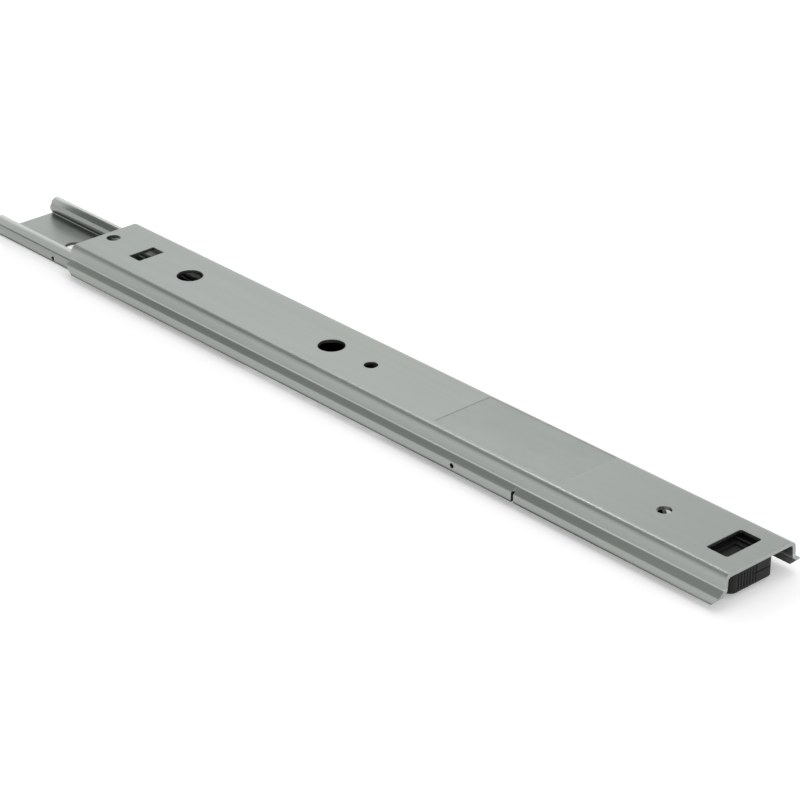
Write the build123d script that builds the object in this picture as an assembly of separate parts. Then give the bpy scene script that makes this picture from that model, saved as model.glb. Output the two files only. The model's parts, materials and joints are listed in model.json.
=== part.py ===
from build123d import *
import os
from math import hypot

# Ball-bearing drawer slide, three-quarter extension, lying with the cabinet member's web up.
# Frame: X runs from the drawer front (-X) to the back of the cabinet (+X), Z is up, and the
# origin is on the floor under the middle of the ball retainers. Millimetres.

# ---- driving dimensions -------------------------------------------------------------------
MEMBER_LENGTH = 305.0        # both members, the 12 inch size
OVERALL_WIDTH = 35.0         # over the ball races of the cabinet member
OVERALL_DEPTH = 12.0         # web to web, for a 12.7 mm side space
SHEET = 1.2                  # steel sheet of both members
OPEN_AT_REST = 48.0          # how far the drawer member is drawn out as stored

BALL_D = 3.97                # 5/32 inch balls
BALL_COUNT = 7               # in each row
BALL_PITCH = 10.0
RETAINER_LENGTH = 71.0
RETAINER_SHEET = 0.6

# ---- places along X -----------------------------------------------------------------------
CABINET_FRONT = (OPEN_AT_REST - MEMBER_LENGTH) / 2
CABINET_REAR = CABINET_FRONT + MEMBER_LENGTH
DRAWER_FRONT = CABINET_FRONT - OPEN_AT_REST
DRAWER_REAR = DRAWER_FRONT + MEMBER_LENGTH

# ---- cabinet member section (half, outside face) ------------------------------------------
CABINET_HALF = OVERALL_WIDTH / 2
SKIRT_BOTTOM = 2.3           # the race skirt stops above the floor
SHOULDER_Z = 5.6             # where the flare meets the skirt, ball race stretch
REAR_SHOULDER_Z = 5.2        # the same behind the relief slit
RIDGE_HALF = 15.1
RIDGE_Z = 7.0
CHEEK_HALF = 14.85
BEND_INSIDE = 0.3
WEB_BEND_OUTSIDE = 2.3
RIDGE_BEND_OUTSIDE = 0.9
SHOULDER_BEND_OUTSIDE = 0.6

# ---- drawer member section (half, outside face) -------------------------------------------
DRAWER_HALF = 12.9
DRAWER_TOP = 8.0
GROOVE_Z = 3.4               # height of the ball centres
GROOVE_HALF_HEIGHT = 1.3
GROOVE_FLOOR_HALF = 0.15
GROOVE_DEPTH = 0.8
DRAWER_BEND_OUTSIDE = 0.9
BALL_Y = 14.47
RACE_RADIUS = BALL_D / 2 + 0.07
STOP_TAB = (1.7, 0.6)        # length and height of the drawer member's formed stop tabs
STOP_TAB_TIP = 14.35         # how far out they reach
STOP_TAB_Z = 5.1
STOP_TAB_FROM_END = 0.6

# ---- ball retainer section ----------------------------------------------------------------
RETAINER_TOP = 5.3
RETAINER_BEND_Z = 1.4
RETAINER_LIP = (0.75, 0.75)  # in and down from the bend
RETAINER_BEND = (0.2, [0.7])  # inside and outside radius
POCKET_PLAY = 0.04

# ---- holes of the cabinet member, measured from its front end ------------------------------
CABINET_SCREW_HOLES = (139.5, 267.5)
CABINET_SCREW_D = 4.7
FRONT_HOLE_AT = 4.7
FRONT_HOLE_D = 5.0
ACCESS_HOLES = (47.3, 120.4)
ACCESS_D = 9.2
CROSS_SLOT_AT = 23.3
CROSS_SLOT = (6.0, 10.8)
WINDOW_AT = 294.2
WINDOW = (8.2, 15.0)
WINDOW_OFF_CENTRE = 0.5
WINDOW_CORNER = 0.8
SLIT_AT = 222.1
SLIT_WIDTH = 1.0
SLIT_TOP = 5.9
PEEP_HOLE_AT = 195.8
PEEP_HOLE_D = 1.7
PEEP_HOLE_Z = 4.3
SKIRT_CHAMFER = 2.8
FRONT_TAB = (1.7, 1.0)       # length and height of the tabs that stop the retainers in front
TAB_ROOT = 0.3               # how far a tab runs into its wall

# ---- holes of the drawer member, measured from its front end -------------------------------
DRAWER_SCREW_HOLES = (45.0, 141.0, 237.0)
DRAWER_SCREW_D = 4.6
KEY_HOLE_AT = 29.0
KEY_HOLE_D = 6.4
GAUGE_HOLE_AT = 33.7
GAUGE_HOLE_D = 1.6
GAUGE_HOLE_Z = 1.6
LIP_CHAMFER = 2.2

# ---- rear catch ---------------------------------------------------------------------------
CATCH_REAR = CABINET_REAR - 2.8
CATCH_LENGTH = 28.0          # leaves the rear screw hole free
CATCH_FRONT = CATCH_REAR - CATCH_LENGTH
CATCH_HALF = 9.4
CATCH_BOTTOM = 2.0
CATCH_SPLIT_Z = 8.6          # joint between housing and cover
CATCH_WALL = 1.3
CATCH_REAR_WALL = 2.5
CATCH_CORNER = 2.6
RIB_COUNT = 7
RIB_PITCH = 1.25
RIB_DEPTH = 0.2
RIB_MARGIN = 0.8             # plain band above and below the ribs
STEP_LINE = (0.3, 0.4)       # depth and height of the line across the other half
STUD_CHANNEL_HALF = 2.4
STUD_D = 3.0
STUD_HEAD_D = 3.6
STUD_TOP = 5.9
STUD_FROM_REAR = 8.0
STUD_HEAD_HEIGHT = 1.4
STUD_COLLAR = (4.2, 0.5)     # diameter and height
WELL_MARGIN = 0.6            # the cover's well is this much larger than the window
WELL_FLOOR_Z = 9.6
POCKET_FLOOR_Z = 9.1         # deeper rear part of the well
POCKET_FRONT_X = 163.3
POCKET_FAR_Y = 4.0
WELL_RIB = (5.85, 0.5, 10.4) # middle Y, width, top Z
JAW_PIVOT_FROM_STUD = 15.5   # ahead of the closed stud
JAW_PIVOT_Y = 5.6
JAW_PIN_D = 1.5
JAW_BOTTOM = 3.4
JAW_TOP = 6.2
JAW_NOSE_R = 0.9
JAW_NOSE_GAP = 0.1           # between nose and stud head, jaws at rest
JAW_HUB_R = 1.8
PIN_SEAT_BELOW = 0.3         # where the pin starts above the housing's underside
PIN_SEAT_ABOVE = 0.8         # how far it runs into the cover
SPRING_WIRE_D = 0.4
SPRING_PITCH = 0.5
SPRING_HEIGHT = 1.6
BUFFER_HEIGHT = 3.2

# ---- blank film ---------------------------------------------------------------------------
FILM = (55.0, 24.4)
FILM_THICKNESS = 0.08
FILM_AT = 208.7
FILM_OFF_CENTRE = 0.6

ON_BASE = (Align.CENTER, Align.CENTER, Align.MIN)
FROM_FRONT = (Align.MIN, Align.CENTER, Align.MIN)


def sheet_section(path, thickness, inside_radius, outside_radii):
    """Face of a bent sheet: path is its outside face, the sheet lies on the path's right.

    outside_radii holds the outer radius of each bend along the path; where the sheet allows,
    the inner radius is that less the thickness, and nowhere less than inside_radius.
    """
    def unit(a, b):
        length = hypot(b[0] - a[0], b[1] - a[1])
        return ((b[0] - a[0]) / length, (b[1] - a[1]) / length)

    inner = []
    for i, point in enumerate(path):
        before = unit(path[max(i - 1, 0)], path[max(i, 1)])
        after = unit(path[min(i, len(path) - 2)], path[min(i + 1, len(path) - 1)])
        normal = (before[1] + after[1], -before[0] - after[0])
        scale = thickness / (1 + before[0] * after[0] + before[1] * after[1])
        inner.append((point[0] + normal[0] * scale, point[1] + normal[1] * scale))
    face = make_face(Polyline(*path, *reversed(inner), close=True)).face()
    for i in range(1, len(path) - 1):
        a = unit(path[i - 1], path[i])
        b = unit(path[i], path[i + 1])
        turn = a[0] * b[1] - a[1] * b[0]
        hollow, proud = (inner[i], path[i]) if turn < 0 else (path[i], inner[i])
        outside = outside_radii[i - 1]
        inside = max(inside_radius, outside - thickness)
        for corner, radius in ((hollow, inside), (proud, outside)):
            here = Vector(corner[0], corner[1], 0)
            vertex = face.vertices().sort_by_distance(here)[0]
            face = face.fillet_2d(radius, [vertex])
    return face


def mirrored(half):
    """Full section path from the half that runs from the middle outwards."""
    return [(-y, z) for y, z in reversed(half)] + list(half)


def channel(path, x_from, x_to, outside_radii):
    """Member drawn along X; the section's own axes are Y and Z."""
    face = Plane.YZ * sheet_section(path, SHEET, BEND_INSIDE, outside_radii)
    return Pos(x_from, 0, 0) * extrude(face, amount=x_to - x_from, dir=(1, 0, 0))


def drill_down(x, y, diameter):
    """Cutter for a round hole through a web."""
    return Pos(x, y, 0) * Cylinder(diameter / 2, 4 * OVERALL_DEPTH)


def cabinet_path(shoulder_z):
    """Outside face of the cabinet member, from one skirt over the web to the other."""
    half = [
        (CHEEK_HALF, OVERALL_DEPTH),
        (RIDGE_HALF, RIDGE_Z),
        (CABINET_HALF, shoulder_z),
        (CABINET_HALF, SKIRT_BOTTOM),
    ]
    return mirrored(half)


def skirt_corner_cuts():
    """Cutters that take off the lower corners of both skirts at both ends at 45 degrees."""
    cuts = []
    side = SKIRT_CHAMFER * 2 ** 0.5
    for x in (CABINET_FRONT, CABINET_REAR):
        for y in (-CABINET_HALF, CABINET_HALF):
            cuts.append(Pos(x, y, SKIRT_BOTTOM) * Rot(0, 45, 0) * Box(side, 4 * SHEET, side))
    return cuts


def make_cabinet_member():
    """Outer channel, fixed to the cabinet side through its web."""
    slit_x = CABINET_FRONT + SLIT_AT
    bends = [SHOULDER_BEND_OUTSIDE, RIDGE_BEND_OUTSIDE, WEB_BEND_OUTSIDE]
    bends += reversed(bends)
    body = channel(cabinet_path(SHOULDER_Z), CABINET_FRONT, slit_x, bends)
    body += channel(cabinet_path(REAR_SHOULDER_Z), slit_x, CABINET_REAR, bends)
    for y in (-BALL_Y, BALL_Y):
        race = Cylinder(RACE_RADIUS, slit_x - CABINET_FRONT, align=ON_BASE)
        body -= Pos(CABINET_FRONT, y, GROOVE_Z) * Rot(0, 90, 0) * race
    for at in CABINET_SCREW_HOLES:
        body -= drill_down(CABINET_FRONT + at, 0, CABINET_SCREW_D)
    for at in ACCESS_HOLES:
        body -= drill_down(CABINET_FRONT + at, 0, ACCESS_D)
    body -= drill_down(CABINET_FRONT + FRONT_HOLE_AT, 0, FRONT_HOLE_D)
    body -= Pos(CABINET_FRONT + CROSS_SLOT_AT, 0, OVERALL_DEPTH) * Box(*CROSS_SLOT, 4 * SHEET)
    opening = extrude(RectangleRounded(*WINDOW, WINDOW_CORNER), 2 * SHEET, both=True)
    body -= Pos(CABINET_FRONT + WINDOW_AT, WINDOW_OFF_CENTRE, OVERALL_DEPTH) * opening
    slit_height = SLIT_TOP - SKIRT_BOTTOM + SHEET
    slit = Box(SLIT_WIDTH, 2.2 * SHEET, slit_height)
    body -= Pos(slit_x, -CABINET_HALF, SLIT_TOP - slit_height / 2) * slit
    peep = Cylinder(PEEP_HOLE_D / 2, 4 * SHEET)
    body -= Pos(CABINET_FRONT + PEEP_HOLE_AT, -CABINET_HALF, PEEP_HOLE_Z) * Rot(90, 0, 0) * peep
    for cut in skirt_corner_cuts():
        body -= cut
    tab_reach = CABINET_HALF - SHEET + TAB_ROOT - BALL_Y
    tab = Box(FRONT_TAB[0], tab_reach, FRONT_TAB[1], align=(Align.MIN, Align.CENTER, Align.MAX))
    for side in (-1, 1):
        body += Pos(CABINET_FRONT, side * (BALL_Y + tab_reach / 2), SHOULDER_Z) * tab
    return body - make_blank_label()


def drawer_path():
    """Outside face of the drawer member: the ball groove is rolled in from the outside."""
    low = GROOVE_Z - GROOVE_HALF_HEIGHT
    high = GROOVE_Z + GROOVE_HALF_HEIGHT
    bottom = DRAWER_HALF - GROOVE_DEPTH
    half = [
        (DRAWER_HALF, 0.0),
        (DRAWER_HALF, low),
        (bottom, GROOVE_Z - GROOVE_FLOOR_HALF),
        (bottom, GROOVE_Z + GROOVE_FLOOR_HALF),
        (DRAWER_HALF, high),
        (DRAWER_HALF, DRAWER_TOP),
    ]
    return list(reversed(mirrored(half)))


def make_drawer_member():
    """Inner channel, fixed to the drawer side through its web."""
    path = drawer_path()
    body = channel(path, DRAWER_FRONT, DRAWER_REAR, [DRAWER_BEND_OUTSIDE] * (len(path) - 2))
    for at in DRAWER_SCREW_HOLES:
        body -= drill_down(DRAWER_FRONT + at, 0, DRAWER_SCREW_D)
    body -= drill_down(DRAWER_FRONT + KEY_HOLE_AT, 0, KEY_HOLE_D)
    body -= drill_down(DRAWER_REAR - STUD_FROM_REAR, 0, STUD_D)
    gauge = Cylinder(GAUGE_HOLE_D / 2, 4 * SHEET)
    body -= Pos(DRAWER_FRONT + GAUGE_HOLE_AT, -DRAWER_HALF, GAUGE_HOLE_Z) * Rot(90, 0, 0) * gauge
    side = LIP_CHAMFER * 2 ** 0.5
    for x in (DRAWER_FRONT, DRAWER_REAR):
        for y in (-DRAWER_HALF, DRAWER_HALF):
            body -= Pos(x, y, DRAWER_TOP) * Rot(0, 45, 0) * Box(side, 4 * SHEET, side)
    root = DRAWER_HALF - TAB_ROOT
    reach = STOP_TAB_TIP - root
    tab = Box(STOP_TAB[0], reach, STOP_TAB[1], align=(Align.MAX, Align.CENTER, Align.CENTER))
    for sign in (-1, 1):
        body += Pos(DRAWER_REAR - STOP_TAB_FROM_END, sign * (root + reach / 2), STOP_TAB_Z) * tab
    return body


def retainer_leg(side):
    """Ball retainer: a strip with ball pockets and a stiffening lip, side is -1 or 1."""
    outer_y = BALL_Y + RETAINER_SHEET / 2
    path = [
        (side * outer_y, RETAINER_TOP),
        (side * outer_y, RETAINER_BEND_Z),
        (side * (outer_y - RETAINER_LIP[0]), RETAINER_BEND_Z - RETAINER_LIP[1]),
    ]
    if side < 0:
        path.reverse()
    face = Plane.YZ * sheet_section(path, RETAINER_SHEET, *RETAINER_BEND)
    strip = Pos(-RETAINER_LENGTH / 2, 0, 0) * extrude(face, amount=RETAINER_LENGTH, dir=(1, 0, 0))
    pocket = Cylinder(BALL_D / 2 + POCKET_PLAY, 6.0)
    for x in ball_places():
        strip -= Pos(x, side * BALL_Y, GROOVE_Z) * Rot(90, 0, 0) * pocket
    return strip


def ball_places():
    """X of each ball, spread evenly about the middle of the retainer."""
    first = -BALL_PITCH * (BALL_COUNT - 1) / 2
    return [first + BALL_PITCH * i for i in range(BALL_COUNT)]


def ball_row(side):
    """One row of loose balls, each its own solid."""
    return Compound([Pos(x, side * BALL_Y, GROOVE_Z) * Sphere(BALL_D / 2) for x in ball_places()])


def make_striker_stud():
    """Riveted stud on the drawer member's web that the catch jaws hold."""
    shank_height = STUD_TOP - STUD_HEAD_HEIGHT
    stud = Cylinder(STUD_D / 2 - 0.01, shank_height, align=ON_BASE)
    stud += Pos(0, 0, shank_height) * Cylinder(STUD_HEAD_D / 2, STUD_HEAD_HEIGHT, align=ON_BASE)
    stud += Pos(0, 0, SHEET) * Cylinder(STUD_COLLAR[0] / 2, STUD_COLLAR[1], align=ON_BASE)
    return Pos(DRAWER_REAR - STUD_FROM_REAR, 0, 0) * stud


STUD_CLOSED_X = DRAWER_REAR - STUD_FROM_REAR + OPEN_AT_REST
JAW_PIVOT_X = STUD_CLOSED_X - JAW_PIVOT_FROM_STUD
JAW_NOSE_X = STUD_CLOSED_X - STUD_HEAD_D / 2 - JAW_NOSE_R
JAW_NOSE_Y = STUD_HEAD_D / 2 + JAW_NOSE_GAP + JAW_NOSE_R


def catch_blank(height):
    """Block of the catch's outline on the plane z = 0, its rear corners rounded."""
    blank = Box(CATCH_LENGTH, 2 * CATCH_HALF, height, align=FROM_FRONT)
    corners = blank.edges().filter_by(Axis.Z).group_by(Axis.X)[-1]
    return Pos(CATCH_FRONT, 0, 0) * fillet(corners, CATCH_CORNER)


def make_catch_housing():
    """Black tray under the rear of the cabinet member; the stud runs in its open channel."""
    height = CATCH_SPLIT_Z - CATCH_BOTTOM
    body = Pos(0, 0, CATCH_BOTTOM) * catch_blank(height)
    room_length = CATCH_LENGTH - CATCH_WALL - CATCH_REAR_WALL
    room = Box(room_length, 2 * (CATCH_HALF - CATCH_WALL), height, align=FROM_FRONT)
    body -= Pos(CATCH_FRONT + CATCH_WALL, 0, CATCH_BOTTOM + CATCH_WALL) * room
    stud_channel = Box(CATCH_LENGTH - CATCH_REAR_WALL, 2 * STUD_CHANNEL_HALF, height, align=FROM_FRONT)
    body -= Pos(CATCH_FRONT, 0, CATCH_BOTTOM) * stud_channel
    middle_z = CATCH_BOTTOM + height / 2
    groove = Box(2 * RIB_DEPTH, RIB_PITCH / 2, height - 2 * RIB_MARGIN)
    for i in range(RIB_COUNT):
        y = i * RIB_PITCH + CATCH_CORNER + RIB_PITCH / 2 - CATCH_HALF
        body -= Pos(CATCH_REAR, y, middle_z) * groove
    line_length = CATCH_HALF - CATCH_WALL
    line = Box(2 * STEP_LINE[0], line_length, STEP_LINE[1], align=(Align.CENTER, Align.MIN, Align.CENTER))
    body -= Pos(CATCH_REAR, CATCH_WALL / 2, middle_z) * line
    socket = Cylinder(JAW_PIN_D / 2, CATCH_WALL, align=ON_BASE)
    for side in (-1, 1):
        body -= Pos(JAW_PIVOT_X, side * JAW_PIVOT_Y, CATCH_BOTTOM + PIN_SEAT_BELOW) * socket
    return body


def make_catch_cover():
    """Lid between the housing and the web, with a ribbed well behind the web's window."""
    web_under = OVERALL_DEPTH - SHEET
    lid = Pos(0, 0, CATCH_SPLIT_Z) * catch_blank(web_under - CATCH_SPLIT_Z)
    well_x = CABINET_FRONT + WINDOW_AT - WINDOW[0] / 2 - WELL_MARGIN
    well_size = [side + 2 * WELL_MARGIN for side in WINDOW]
    well = Box(*well_size, SHEET * 2, align=FROM_FRONT)
    lid -= Pos(well_x, WINDOW_OFF_CENTRE, WELL_FLOOR_Z) * well
    near_y = WINDOW_OFF_CENTRE - well_size[1] / 2
    pocket_size = (well_x + well_size[0] - POCKET_FRONT_X, POCKET_FAR_Y - near_y)
    pocket = Box(*pocket_size, SHEET, align=(Align.MIN, Align.MIN, Align.MIN))
    lid -= Pos(POCKET_FRONT_X, near_y, POCKET_FLOOR_Z) * pocket
    rib_y, rib_width, rib_top = WELL_RIB
    rib = Box(well_size[0], rib_width, rib_top - WELL_FLOOR_Z, align=FROM_FRONT)
    lid += Pos(well_x, rib_y, WELL_FLOOR_Z) * rib
    socket = Cylinder(JAW_PIN_D / 2, PIN_SEAT_ABOVE, align=ON_BASE)
    for side in (-1, 1):
        lid -= Pos(JAW_PIVOT_X, side * JAW_PIVOT_Y, CATCH_SPLIT_Z) * socket
    return lid


def make_jaw(side):
    """Lever that snaps in behind the stud, with a round nose and a bushed pivot."""
    height = JAW_TOP - JAW_BOTTOM
    pivot = (JAW_PIVOT_X, side * JAW_PIVOT_Y)
    nose = (JAW_NOSE_X, side * JAW_NOSE_Y)
    hub = Pos(*pivot) * Circle(JAW_HUB_R)
    tip = Pos(*nose) * Circle(JAW_NOSE_R)
    outline = make_hull((hub + tip).edges())
    jaw = Pos(0, 0, JAW_BOTTOM) * extrude(outline, amount=height, dir=(0, 0, 1))
    bore = Cylinder(JAW_PIN_D / 2 + 0.05, 4 * height)
    return jaw - Pos(*pivot, JAW_BOTTOM) * bore


def make_jaw_pin(side):
    """Steel pivot pin held between the housing and the cover."""
    bottom = CATCH_BOTTOM + PIN_SEAT_BELOW
    pin = Cylinder(JAW_PIN_D / 2, CATCH_SPLIT_Z + PIN_SEAT_ABOVE - bottom, align=ON_BASE)
    return Pos(JAW_PIVOT_X, side * JAW_PIVOT_Y, bottom) * pin


def make_jaw_spring(side):
    """Torsion spring wound round the pivot pin above the jaw."""
    coil_radius = JAW_PIN_D / 2 + 0.15 + SPRING_WIRE_D / 2
    path = Helix(pitch=SPRING_PITCH, height=SPRING_HEIGHT, radius=coil_radius)
    profile = Plane(origin=path @ 0, z_dir=path % 0) * Circle(SPRING_WIRE_D / 2)
    return Pos(JAW_PIVOT_X, side * JAW_PIVOT_Y, JAW_TOP + 0.3) * sweep(profile, path=path)


def make_buffer_pad():
    """Rubber pad on the housing's rear inner wall that the stud meets when the drawer shuts."""
    wall_x = CATCH_REAR - CATCH_REAR_WALL
    stud_face = STUD_CLOSED_X + STUD_HEAD_D / 2
    size = (wall_x - stud_face - 0.1, 2 * STUD_CHANNEL_HALF - 0.2, BUFFER_HEIGHT)
    pad = Box(*size, align=(Align.MAX, Align.CENTER, Align.MIN))
    return Pos(wall_x, 0, CATCH_BOTTOM + 0.2) * pad


def make_blank_label():
    """Clear blank film, let into the web by its own thickness so that the face stays flat."""
    film = extrude(RectangleRounded(*FILM, 1.0), FILM_THICKNESS)
    return Pos(CABINET_FRONT + FILM_AT, FILM_OFF_CENTRE, OVERALL_DEPTH - FILM_THICKNESS) * film


os.makedirs("parts", exist_ok=True)
SIDES = {"near": -1, "far": 1}
nodes = {
    "cabinet_member": make_cabinet_member(),
    "drawer_member": make_drawer_member(),
    "striker_stud": make_striker_stud(),
    "catch_housing": make_catch_housing(),
    "catch_cover": make_catch_cover(),
    "buffer_pad": make_buffer_pad(),
    "blank_label": make_blank_label(),
}
for name, sign in SIDES.items():
    nodes["retainer_" + name] = retainer_leg(sign)
    nodes["balls_" + name] = ball_row(sign)
    nodes["jaw_" + name] = make_jaw(sign)
    nodes["jaw_pin_" + name] = make_jaw_pin(sign)
    nodes["jaw_spring_" + name] = make_jaw_spring(sign)
for name, shape in nodes.items():
    export_step(shape, "parts/" + name + ".step")
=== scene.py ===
import json
import math

import bpy
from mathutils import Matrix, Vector


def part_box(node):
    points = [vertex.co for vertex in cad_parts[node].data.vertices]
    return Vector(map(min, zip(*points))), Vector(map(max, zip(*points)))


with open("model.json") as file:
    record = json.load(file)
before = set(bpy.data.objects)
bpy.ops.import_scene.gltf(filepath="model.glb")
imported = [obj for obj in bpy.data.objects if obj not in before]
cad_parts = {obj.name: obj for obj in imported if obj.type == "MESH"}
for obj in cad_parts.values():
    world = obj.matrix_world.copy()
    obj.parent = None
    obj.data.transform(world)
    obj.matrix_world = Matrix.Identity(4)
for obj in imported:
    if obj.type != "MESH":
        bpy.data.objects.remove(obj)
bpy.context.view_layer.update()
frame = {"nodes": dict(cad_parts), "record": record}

NODES = frame["nodes"]
MM = 0.001


# ---- node helpers ---------------------------------------------------------------------------
def linear(red, green, blue):
    """Linear colour of an 8-bit sRGB colour."""
    parts = [((c / 255 + 0.055) / 1.055) ** 2.4 for c in (red, green, blue)]
    return (*parts, 1.0)


def add_node(tree, kind, **settings):
    """New node with its properties set; values for sockets are given to set_inputs."""
    node = tree.nodes.new("ShaderNode" + kind)
    for name, value in settings.items():
        setattr(node, name, value)
    return node


def feed(socket, value):
    """Sets a socket to a constant, or links another socket into it."""
    if isinstance(value, bpy.types.NodeSocket):
        socket.id_data.links.new(value, socket)
    else:
        socket.default_value = value


def set_inputs(node, **values):
    """Writes constants or links into the sockets, named with _ for a space."""
    for name, value in values.items():
        feed(node.inputs[name.replace("_", " ")], value)
    return node


def math_node(tree, operation, first, second=0.5, clamp=False):
    """Output of a Math node; each operand is a number or a socket."""
    node = add_node(tree, "Math", operation=operation, use_clamp=clamp)
    feed(node.inputs[0], first)
    feed(node.inputs[1], second)
    return node.outputs[0]


def times(tree, first, second):
    """Product of two numbers or sockets."""
    return math_node(tree, "MULTIPLY", first, second)


def ramp(tree, value, low, high, to_low=0.0, to_high=1.0):
    """Smooth step of a value from low..high to to_low..to_high."""
    node = add_node(tree, "MapRange", interpolation_type="SMOOTHSTEP")
    set_inputs(node, Value=value, From_Min=low, From_Max=high, To_Min=to_low, To_Max=to_high)
    return node.outputs["Result"]


def object_axes(tree):
    """X, Y and Z of the object coordinates."""
    split = add_node(tree, "SeparateXYZ")
    feed(split.inputs["Vector"], add_node(tree, "TexCoord").outputs["Object"])
    return split.outputs


def stretched_coordinates(tree, scale, turn=(0.0, 0.0, 0.0)):
    """Object coordinates stretched for a pattern."""
    coordinates = add_node(tree, "TexCoord")
    mapping = set_inputs(add_node(tree, "Mapping"), Scale=scale, Rotation=turn)
    feed(mapping.inputs["Vector"], coordinates.outputs["Object"])
    return mapping.outputs["Vector"]


def noise(tree, vector, scale, detail=3.0, roughness=0.5):
    """Noise value from 0 to 1."""
    node = add_node(tree, "TexNoise")
    set_inputs(node, Vector=vector, Scale=scale, Detail=detail, Roughness=roughness)
    return node.outputs["Fac"]


def patchy(tree, stretch, low, high, to_low=0.0, to_high=1.0, detail=3.0):
    """Soft-edged patches: noise on stretched object coordinates, stepped between low and high."""
    spots = noise(tree, stretched_coordinates(tree, stretch), 1.0, detail)
    return ramp(tree, spots, low, high, to_low, to_high)


def height_band(tree, middle, reach):
    """1 at the middle height, falling evenly to 0 at the reach above and below it."""
    off = math_node(tree, "ABSOLUTE", math_node(tree, "SUBTRACT", object_axes(tree)["Z"], middle))
    return math_node(tree, "SUBTRACT", 1.0, math_node(tree, "DIVIDE", off, reach), clamp=True)


def new_group(name, inputs, outputs):
    """Empty node group with float inputs {name: value} and outputs {name: socket type}."""
    group = bpy.data.node_groups.new(name, "ShaderNodeTree")
    for label, value in inputs.items():
        socket = group.interface.new_socket(label, in_out="INPUT", socket_type="NodeSocketFloat")
        socket.default_value = value
    for label, kind in outputs.items():
        group.interface.new_socket(label, in_out="OUTPUT", socket_type="NodeSocket" + kind)
    entry = group.nodes.new("NodeGroupInput")
    leave = group.nodes.new("NodeGroupOutput")
    return group, entry.outputs, leave.inputs


def place(tree, group, **values):
    """Group node in a material with its values set; returns its outputs."""
    node = add_node(tree, "Group", node_tree=group)
    set_inputs(node, **values)
    return node.outputs


# ---- shared surface effects -----------------------------------------------------------------
def make_rolling_grain():
    """Fine streaks along the rolling direction of a steel strip, with a coarser set below them."""
    group, given, result = new_group(
        "rolling grain",
        {"Scale": 1.0},
        {"Height": "Float", "Streaks": "Float"},
    )
    fine_vector = stretched_coordinates(group, (60.0, 2600.0, 2600.0))
    fine = noise(group, fine_vector, given["Scale"], 4.0, 0.6)
    broad_vector = stretched_coordinates(group, (9.0, 330.0, 330.0))
    broad = noise(group, broad_vector, given["Scale"], 2.0)
    height = math_node(group, "ADD", times(group, fine, 0.7), times(group, broad, 0.3))
    feed(result["Height"], height)
    feed(result["Streaks"], ramp(group, broad, 0.3, 0.7))
    return group


def make_plating_cloud():
    """Soft cloudy patches and fine speckle of a plated or painted coat."""
    group, given, result = new_group(
        "plating cloud",
        {"Patch Scale": 30.0, "Speckle Scale": 4000.0},
        {"Patches": "Float", "Speckle": "Float"},
    )
    vector = stretched_coordinates(group, (0.6, 1.0, 1.0))
    patches = noise(group, vector, given["Patch Scale"], 3.0)
    speckle = noise(group, vector, given["Speckle Scale"], 2.0)
    feed(result["Patches"], ramp(group, patches, 0.3, 0.7))
    feed(result["Speckle"], speckle)
    return group


def make_painted_line():
    """Soft line at one height, uneven along it, used for painted highlight lines and for painted
    shadow lines.
    """
    group, given, result = new_group(
        "painted light line",
        {"Height": 6.5 * MM, "Half Width": 0.3 * MM},
        {"Line": "Float"},
    )
    near = height_band(group, given["Height"], given["Half Width"])
    uneven = patchy(group, (14.0, 3.0, 3.0), 0.2, 0.7, 0.45, 1.0, detail=2.0)
    feed(result["Line"], times(group, near, uneven))
    return group


def make_painted_hollow_shade():
    """Painted shade in hollows below one height, darker the less open space each point sees."""
    group, given, result = new_group(
        "painted hollow shade",
        {"Reach": 14.0 * MM, "Unshaded Above": 11.4 * MM},
        {"Painted Shade": "Float"},
    )
    below = math_node(group, "LESS_THAN", object_axes(group)["Z"], given["Unshaded Above"])
    # painted shade: ambient occlusion sets where the hollows are painted dark
    open_space = set_inputs(add_node(group, "AmbientOcclusion", samples=8), Distance=given["Reach"])
    patch = noise(group, stretched_coordinates(group, (60.0, 120.0, 120.0)), 1.0, 3.0)
    seen = math_node(group, "ADD", open_space.outputs["AO"], times(group, patch, 0.12))
    sheltered = ramp(group, seen, 0.25, 0.62, 1.0, 0.0)
    feed(result["Painted Shade"], times(group, sheltered, below))
    return group


def make_handling_marks():
    """Hairline scratches in two directions, gathered in patches."""
    group, given, result = new_group(
        "handling marks",
        {"Scale": 1.0, "Amount": 0.5},
        {"Scratches": "Float"},
    )
    threshold = math_node(group, "SUBTRACT", 0.86, times(group, given["Amount"], 0.2))
    lines = []
    for turn in (0.35, -0.9):
        vector = stretched_coordinates(group, (70.0, 1900.0, 70.0), (0.0, 0.0, turn))
        hair = noise(group, vector, given["Scale"], 2.0)
        over = math_node(group, "SUBTRACT", hair, threshold)
        lines.append(math_node(group, "MULTIPLY", over, 9.0, clamp=True))
    both = math_node(group, "MAXIMUM", *lines)
    patch = patchy(group, (35.0, 60.0, 60.0), 0.45, 0.65, detail=2.0)
    feed(result["Scratches"], times(group, both, patch))
    return group


def make_soft_edges():
    """Rounded shading normal along sharp edges, and a mask of those edges broken up by noise."""
    group, given, result = new_group(
        "soft edges",
        {"Radius": 0.3 * MM},
        {"Normal": "Vector", "Edge": "Float"},
    )
    bevel = set_inputs(add_node(group, "Bevel", samples=4), Radius=given["Radius"])
    plain = add_node(group, "NewGeometry")
    dot = add_node(group, "VectorMath", operation="DOT_PRODUCT")
    feed(dot.inputs[0], bevel.outputs["Normal"])
    feed(dot.inputs[1], plain.outputs["Normal"])
    turned = math_node(group, "SUBTRACT", 1.0, dot.outputs["Value"])
    chips = patchy(group, (500.0, 900.0, 900.0), 0.25, 0.6)
    feed(result["Normal"], bevel.outputs["Normal"])
    feed(result["Edge"], times(group, ramp(group, turned, 0.02, 0.2), chips))
    return group


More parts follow.
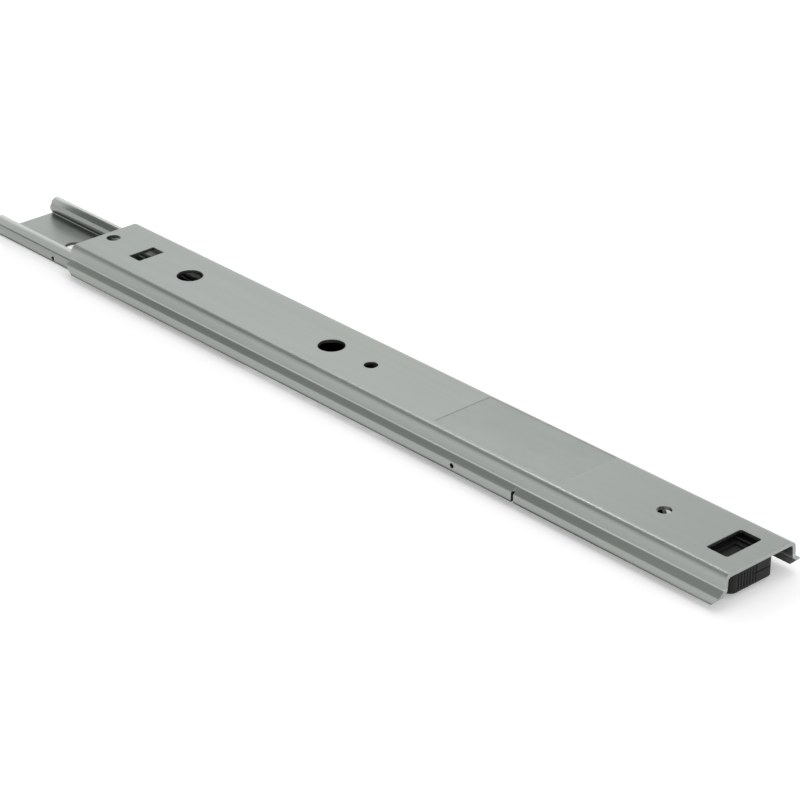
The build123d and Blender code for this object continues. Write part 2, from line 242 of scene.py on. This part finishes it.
def make_oil_film():
    """Patchy film of slide grease, thickest at the height of the ball races."""
    group, given, result = new_group(
        "oil film",
        {"Middle": 3.4 * MM, "Reach": 2.2 * MM},
        {"Film": "Float"},
    )
    near = height_band(group, given["Middle"], given["Reach"])
    feed(result["Film"], times(group, near, patchy(group, (120.0, 300.0, 300.0), 0.3, 0.65)))
    return group


GRAIN = make_rolling_grain()
CLOUD = make_plating_cloud()
MARKS = make_handling_marks()
HOLLOW_SHADE = make_painted_hollow_shade()
PAINTED_LINE = make_painted_line()
EDGES = make_soft_edges()
OIL = make_oil_film()


# ---- materials ------------------------------------------------------------------------------
def new_material(name, **constants):
    """Material with one Principled shader whose constants are set on its own sockets."""
    material = bpy.data.materials.new(name)
    material.use_nodes = True
    shader = material.node_tree.nodes["Principled BSDF"]
    set_inputs(shader, **constants)
    return material, material.node_tree, shader


def blend(tree, amount, first, second):
    """Colour between first and second; each is a colour or a socket."""
    node = add_node(tree, "Mix", data_type="RGBA")
    feed(node.inputs[0], amount)
    feed(node.inputs[6], first)
    feed(node.inputs[7], second)
    return node.outputs[2]


def bump(tree, height, distance, normal=None, strength=1.0):
    """Normal of a Bump node; distance is the height's real size in metres."""
    node = set_inputs(add_node(tree, "Bump"), Height=height, Distance=distance, Strength=strength)
    if normal is not None:
        feed(node.inputs["Normal"], normal)
    return node.outputs["Normal"]


def make_zinc_steel(name, highlight_band, shadow_band):
    """Satin grey-green coated sheet with rolling streaks, cloudy coat and scratches, with painted
    shade in the hollows, a painted highlight line and a painted shadow line.

    The two bands are (middle height, half width) of the line painted bright as a highlight
    and of the line painted dark as a shadow.
    """
    material, tree, shader = new_material(name, Metallic=1.0)
    grain = place(tree, GRAIN)
    cloud = place(tree, CLOUD)
    marks = place(tree, MARKS, Amount=0.3)
    edges = place(tree, EDGES, Radius=0.25 * MM)
    # painted highlight line and painted shadow line, each a band at the heights given for this
    # member
    highlight_line = place(tree, PAINTED_LINE, Height=highlight_band[0], Half_Width=highlight_band[1])
    shadow_line = place(tree, PAINTED_LINE, Height=shadow_band[0], Half_Width=shadow_band[1])
    hollow_shade = place(tree, HOLLOW_SHADE)
    coat = blend(tree, cloud["Patches"], linear(156, 161, 157), linear(161, 166, 162))
    streaked = blend(tree, times(tree, grain["Streaks"], 0.25), coat, linear(169, 173, 169))
    scratched = blend(tree, times(tree, marks["Scratches"], 0.4), streaked, linear(184, 186, 182))
    # rubbed mixes real edge wear with the painted highlight line, and worn paints both pale
    rubbed = math_node(tree, "MAXIMUM", times(tree, edges["Edge"], 0.5), highlight_line["Line"])
    worn = blend(tree, times(tree, rubbed, 0.85), scratched, linear(212, 215, 211))
    # painted shadow: a near-black line along the shadow band, standing in for a contact shadow
    with_painted_shadow = blend(tree, shadow_line["Line"], worn, linear(40, 40, 36))
    # painted shade: near-black painted into the hollows where the occlusion mask is high
    darkened = blend(tree, times(tree, hollow_shade["Painted Shade"], 0.95), with_painted_shadow, linear(30, 30, 27))
    tone = ramp(tree, cloud["Patches"], 0.0, 1.0, 0.30, 0.36)
    speckled = math_node(tree, "ADD", tone, times(tree, cloud["Speckle"], 0.08))
    rough = math_node(tree, "SUBTRACT", speckled, times(tree, edges["Edge"], 0.08))
    relief = math_node(tree, "ADD", times(tree, grain["Height"], 0.5), cloud["Speckle"])
    scarred = math_node(tree, "SUBTRACT", relief, marks["Scratches"])
    normal = bump(tree, scarred, 0.004 * MM, edges["Normal"], 0.5)
    set_inputs(shader, Base_Color=darkened, Roughness=rough, Normal=normal)
    return material


def make_retainer_steel():
    """Bare strip of the ball retainers, with grease in patches."""
    material, tree, shader = new_material("retainer steel", Metallic=1.0)
    grain = place(tree, GRAIN, Scale=1.4)
    edges = place(tree, EDGES, Radius=0.12 * MM)
    film = place(tree, OIL)
    strip = blend(tree, grain["Streaks"], linear(150, 150, 148), linear(172, 172, 170))
    darkened = blend(tree, times(tree, film["Film"], 0.55), strip, linear(140, 122, 84))
    worn = blend(tree, edges["Edge"], darkened, linear(205, 205, 202))
    rough = math_node(tree, "SUBTRACT", 0.38, times(tree, film["Film"], 0.2))
    normal = bump(tree, grain["Height"], 0.006 * MM, edges["Normal"])
    set_inputs(shader, Base_Color=worn, Roughness=rough, Normal=normal)
    return material


def make_ball_steel():
    """Polished balls with a broken film of grease."""
    material, tree, shader = new_material("ball steel", Metallic=1.0)
    film = place(tree, OIL, Reach=2.6 * MM)
    cloud = place(tree, CLOUD, Patch_Scale=700.0, Speckle_Scale=6000.0)
    polish = blend(tree, cloud["Patches"], linear(214, 214, 216), linear(224, 224, 226))
    darkened = blend(tree, times(tree, film["Film"], 0.35), polish, linear(168, 150, 108))
    rough = math_node(tree, "ADD", 0.07, times(tree, film["Film"], 0.22))
    normal = bump(tree, film["Film"], 0.01 * MM, strength=0.6)
    set_inputs(shader, Base_Color=darkened, Roughness=rough, Normal=normal)
    return material


def make_turned_steel():
    """Turned stud, pins and spring wire: fine rings round the vertical axis and darker patches."""
    material, tree, shader = new_material("turned steel", Metallic=1.0)
    vector = stretched_coordinates(tree, (300.0, 300.0, 9000.0))
    rings = noise(tree, vector, 1.0, 3.0)
    edges = place(tree, EDGES, Radius=0.1 * MM)
    cloud = place(tree, CLOUD, Patch_Scale=400.0, Speckle_Scale=7000.0)
    bare = blend(tree, rings, linear(128, 128, 126), linear(166, 166, 164))
    worn = blend(tree, edges["Edge"], bare, linear(206, 206, 203))
    rough = ramp(tree, cloud["Patches"], 0.0, 1.0, 0.26, 0.38)
    normal = bump(tree, rings, 0.008 * MM, edges["Normal"])
    set_inputs(shader, Base_Color=worn, Roughness=rough, Normal=normal)
    return material


def make_black_plastic():
    """Moulded black plastic: fine spark-eroded texture, greyer rubbed edges, faint flow patches."""
    material, tree, shader = new_material("black plastic", IOR=1.45, Specular_IOR_Level=0.35)
    cloud = place(tree, CLOUD, Patch_Scale=160.0, Speckle_Scale=5200.0)
    edges = place(tree, EDGES, Radius=0.2 * MM)
    marks = place(tree, MARKS, Scale=1.6, Amount=0.35)
    body = blend(tree, cloud["Patches"], linear(8, 8, 8), linear(13, 13, 13))
    rubbed = blend(tree, times(tree, edges["Edge"], 0.4), body, linear(62, 63, 65))
    scuffed = blend(tree, times(tree, marks["Scratches"], 0.35), rubbed, linear(84, 84, 86))
    rough = ramp(tree, cloud["Speckle"], 0.2, 0.8, 0.45, 0.62)
    normal = bump(tree, cloud["Speckle"], 0.02 * MM, edges["Normal"], 0.6)
    set_inputs(shader, Base_Color=scuffed, Roughness=rough, Normal=normal)
    return material


def make_jaw_plastic():
    """Natural acetal of the jaws, slightly waxy, greyed where it rubs."""
    material, tree, shader = new_material(
        "jaw plastic", IOR=1.48, Subsurface_Weight=0.15, Subsurface_Scale=0.8 * MM
    )
    cloud = place(tree, CLOUD, Patch_Scale=300.0, Speckle_Scale=5000.0)
    edges = place(tree, EDGES, Radius=0.2 * MM)
    body = blend(tree, cloud["Patches"], linear(214, 211, 200), linear(226, 223, 213))
    rubbed = blend(tree, times(tree, edges["Edge"], 0.5), body, linear(168, 164, 150))
    rough = ramp(tree, cloud["Speckle"], 0.2, 0.8, 0.34, 0.48)
    normal = bump(tree, cloud["Speckle"], 0.01 * MM, edges["Normal"], 0.5)
    set_inputs(shader, Base_Color=rubbed, Roughness=rough, Normal=normal)
    return material


def make_buffer_rubber():
    """Matt rubber with bloom and pitted skin."""
    material, tree, shader = new_material("buffer rubber", IOR=1.52)
    cloud = place(tree, CLOUD, Patch_Scale=900.0, Speckle_Scale=8000.0)
    skin = blend(tree, cloud["Patches"], linear(30, 30, 30), linear(52, 51, 49))
    rough = ramp(tree, cloud["Speckle"], 0.2, 0.8, 0.72, 0.92)
    normal = bump(tree, cloud["Speckle"], 0.03 * MM)
    set_inputs(shader, Base_Color=skin, Roughness=rough, Normal=normal)
    return material


def make_clear_film():
    """Clear blank film: nearly unseen in the middle, a pale line along its cut edges."""
    low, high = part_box("blank_label")
    middle = [(a + b) / 2 for a, b in zip(low, high)]
    material, tree, shader = new_material("clear film", IOR=1.46)
    axes = object_axes(tree)
    inside = []
    for axis, name in enumerate("XY"):
        off = math_node(tree, "ABSOLUTE", math_node(tree, "SUBTRACT", axes[name], middle[axis]))
        inside.append(math_node(tree, "SUBTRACT", (high[axis] - low[axis]) / 2, off))
    margin = math_node(tree, "MINIMUM", *inside)
    rim = ramp(tree, margin, 0.1 * MM, 0.35 * MM, 1.0, 0.0)
    cloud = place(tree, CLOUD, Patch_Scale=90.0, Speckle_Scale=2500.0)
    tint = blend(tree, rim, linear(178, 181, 175), linear(226, 227, 224))
    haze = ramp(tree, cloud["Patches"], 0.0, 1.0, 0.02, 0.05)
    opacity = math_node(tree, "MAXIMUM", haze, times(tree, rim, 0.3))
    rough = ramp(tree, cloud["Speckle"], 0.2, 0.8, 0.18, 0.3)
    normal = bump(tree, cloud["Patches"], 0.02 * MM)
    set_inputs(shader, Base_Color=tint, Roughness=rough, Alpha=opacity, Normal=normal)
    return material


# (middle height, half width) of the painted highlight line and the painted shadow line of each
# member
CABINET_LOW, CABINET_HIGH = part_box("cabinet_member")
DRAWER_LOW, DRAWER_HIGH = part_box("drawer_member")
# the ridge and the lip tops get painted highlights; the skirt edge and the lower bend get painted
# shadow lines
CABINET_RIDGE = (CABINET_HIGH[2] - 4.85 * MM, 0.4 * MM)
CABINET_SKIRT_EDGE = (CABINET_LOW[2] + 0.05 * MM, 0.9 * MM)
DRAWER_LIPS = (DRAWER_HIGH[2], 0.9 * MM)
DRAWER_LOWER_BEND = (DRAWER_LOW[2] + 0.6 * MM, 0.5 * MM)

STEELS = {
    "cabinet_member": make_zinc_steel("cabinet member steel", CABINET_RIDGE, CABINET_SKIRT_EDGE),
    "drawer_member": make_zinc_steel("drawer member steel", DRAWER_LIPS, DRAWER_LOWER_BEND),
}
FINISHES = {
    "retainer_steel": make_retainer_steel(),
    "ball_steel": make_ball_steel(),
    "stud_steel": make_turned_steel(),
    "black_plastic": make_black_plastic(),
    "jaw_plastic": make_jaw_plastic(),
    "buffer_rubber": make_buffer_rubber(),
    "clear_film": make_clear_film(),
}
for part in frame["record"]["subparts"]:
    node = NODES[part["node"]]
    finish = STEELS.get(part["node"]) or FINISHES[part["material_slot"]]
    for slot in node.material_slots:
        slot.material = finish


# ---- floor, light and camera ----------------------------------------------------------------
def make_floor():
    """Wide pale floor that glows a little, a hair below the drawer member's flat back."""
    hair = 0.05 * MM
    bpy.ops.mesh.primitive_plane_add(size=8.0, location=(0.0, 0.0, -hair))
    floor = bpy.context.object
    floor.name = "floor"
    material, tree, shader = new_material(
        "pale floor",
        Roughness=0.85,
        Specular_IOR_Level=0.1,
        Emission_Color=(1.0, 1.0, 1.0, 1.0),
        Emission_Strength=0.31,
    )
    cloud = place(tree, CLOUD, Patch_Scale=3.0, Speckle_Scale=900.0)
    pale = blend(tree, cloud["Patches"], (0.87, 0.87, 0.87, 1.0), (0.88, 0.88, 0.88, 1.0))
    set_inputs(shader, Base_Color=pale)
    floor.data.materials.append(material)


def make_softbox(name, place_at, size, power):
    """Rectangular area light that faces the middle of the slide."""
    light = bpy.data.lights.new(name, "AREA")
    light.shape = "RECTANGLE"
    light.size, light.size_y = size
    light.energy = power
    lamp = bpy.data.objects.new(name, light)
    lamp.location = place_at
    lamp.rotation_euler = (-Vector(place_at)).to_track_quat("-Z", "Y").to_euler()
    bpy.context.collection.objects.link(lamp)


def make_room_light():
    """World that is bright near the horizon, most of all behind the slide, and dimmer overhead."""
    world = bpy.data.worlds.new("studio")
    bpy.context.scene.world = world
    world.use_nodes = True
    tree = world.node_tree
    split = add_node(tree, "SeparateXYZ")
    feed(split.inputs["Vector"], add_node(tree, "TexCoord").outputs["Generated"])
    horizon = ramp(tree, split.outputs["Y"], -0.3, 0.5, 0.95, 1.2)
    overhead = ramp(tree, split.outputs["Z"], 0.48, 0.64, 1.0, 0.34)
    feed(tree.nodes["Background"].inputs["Color"], times(tree, horizon, overhead))


def make_camera():
    """Long lens from the front right, a little above the slide."""
    azimuth = math.radians(47.635)
    elevation = math.radians(27.17)
    distance = 0.9399
    target = Vector((25.23, -0.40, 4.94)) * MM
    away = Vector(
        (
            math.sin(azimuth) * math.cos(elevation),
            -math.cos(azimuth) * math.cos(elevation),
            math.sin(elevation),
        )
    )
    lens = bpy.data.cameras.new("camera")
    lens.lens = 133.26
    lens.sensor_width = 36.0
    lens.clip_start = 0.01
    camera = bpy.data.objects.new("camera", lens)
    camera.location = target + away * distance
    camera.rotation_euler = away.to_track_quat("Z", "Y").to_euler()
    bpy.context.collection.objects.link(camera)
    bpy.context.scene.camera = camera


make_floor()
make_room_light()
make_softbox("overhead softbox", (0.45, -0.20, 1.20), (1.1, 1.2), 6.0)
make_softbox("bend highlight", (-0.52, 0.38, 0.81), (0.15, 0.15), 0.9)
make_camera()
bpy.context.scene.view_settings.view_transform = "Standard"
